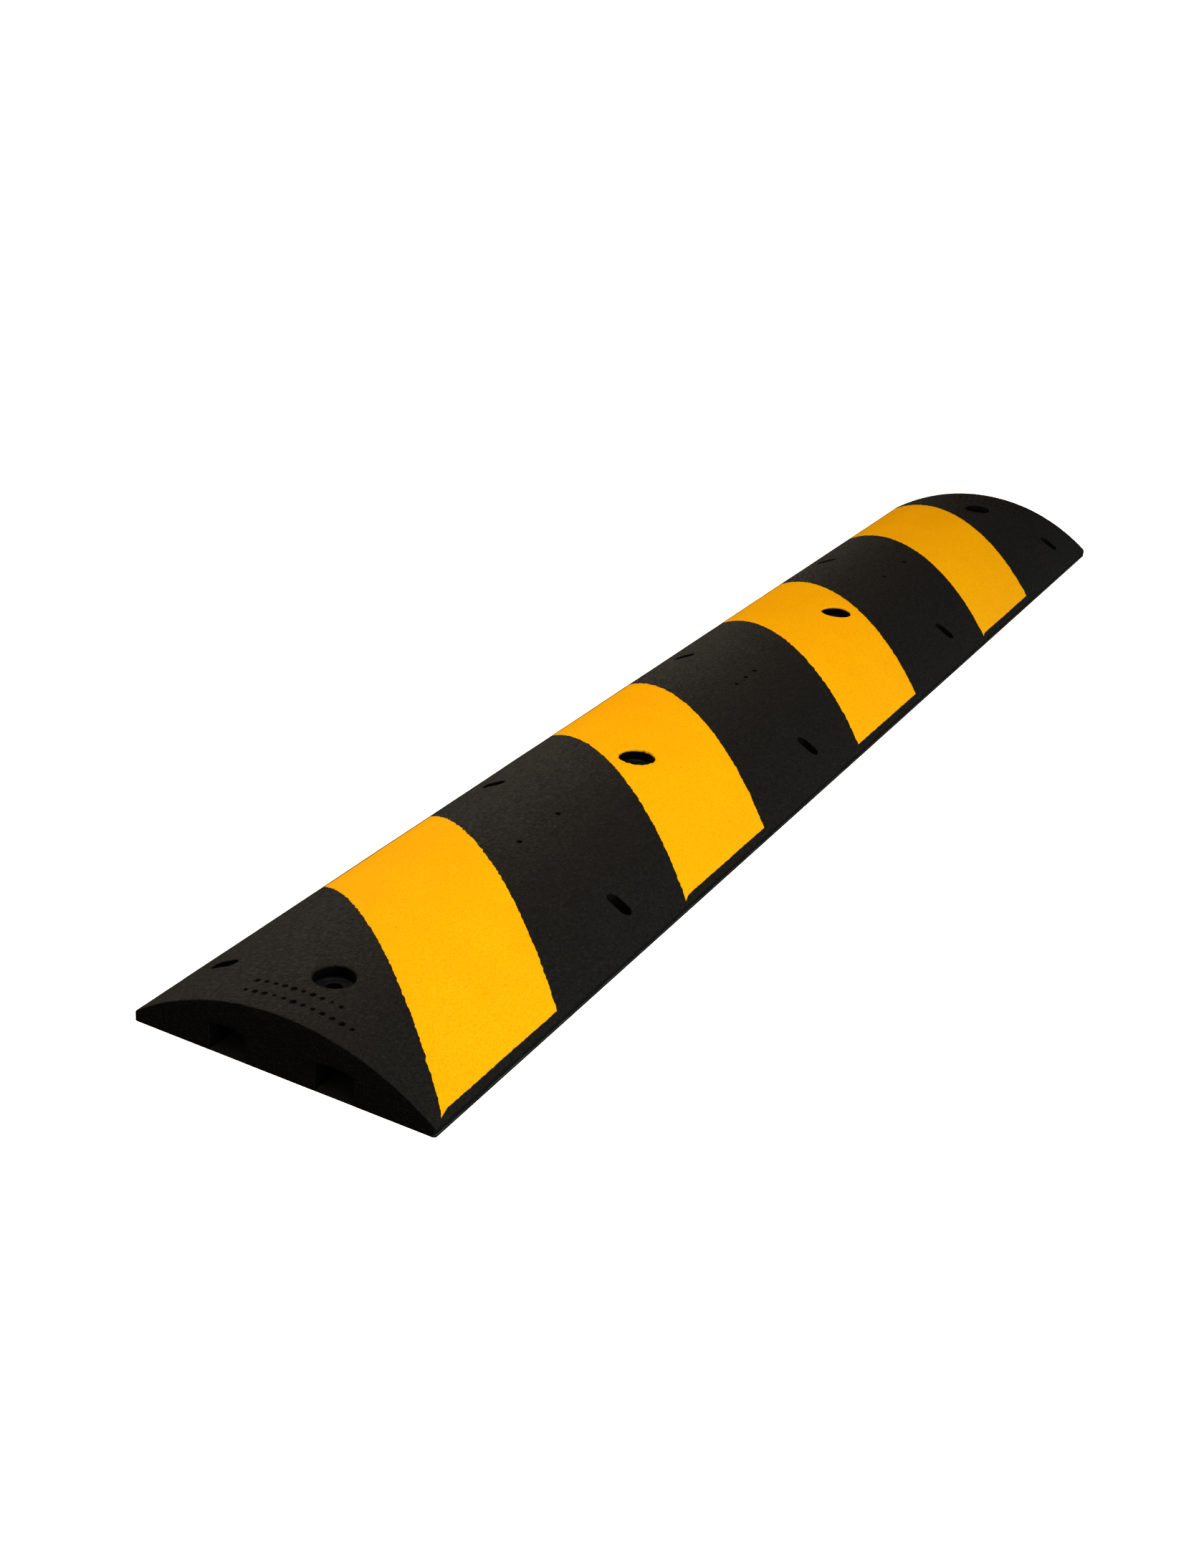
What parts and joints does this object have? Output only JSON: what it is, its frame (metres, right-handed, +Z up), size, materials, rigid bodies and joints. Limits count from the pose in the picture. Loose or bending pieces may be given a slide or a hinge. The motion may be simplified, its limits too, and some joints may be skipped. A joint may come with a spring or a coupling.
{
  "type": "rubber speed bump",
  "caption": "Long domed black rubber speed bump with slanted yellow stripes, stepped fixing holes along the crown, oval-mouthed side holes and two cable channels underneath.",
  "frame": {"origin": "middle of the underside, on the road surface", "axes": "+X along the bump's length across the road, +Y across the bump in the direction of travel, +Z up through the crown"},
  "size_m": [1.83, 0.305, 0.06],
  "materials": {
    "black_rubber": "matt crumb rubber, moulded",
    "yellow_rubber": "matt yellow rubber moulded into the body",
    "washer_steel": "dull grey steel"
  },
  "bodies": {
    "root": {"rubber_body": "black_rubber", "yellow_stripe_1": "yellow_rubber", "yellow_stripe_2": "yellow_rubber", "yellow_stripe_3": "yellow_rubber", "yellow_stripe_4": "yellow_rubber", "seat_washer_1": "washer_steel", "seat_washer_2": "washer_steel", "seat_washer_3": "washer_steel", "seat_washer_4": "washer_steel"}
  },
  "joints": []
}
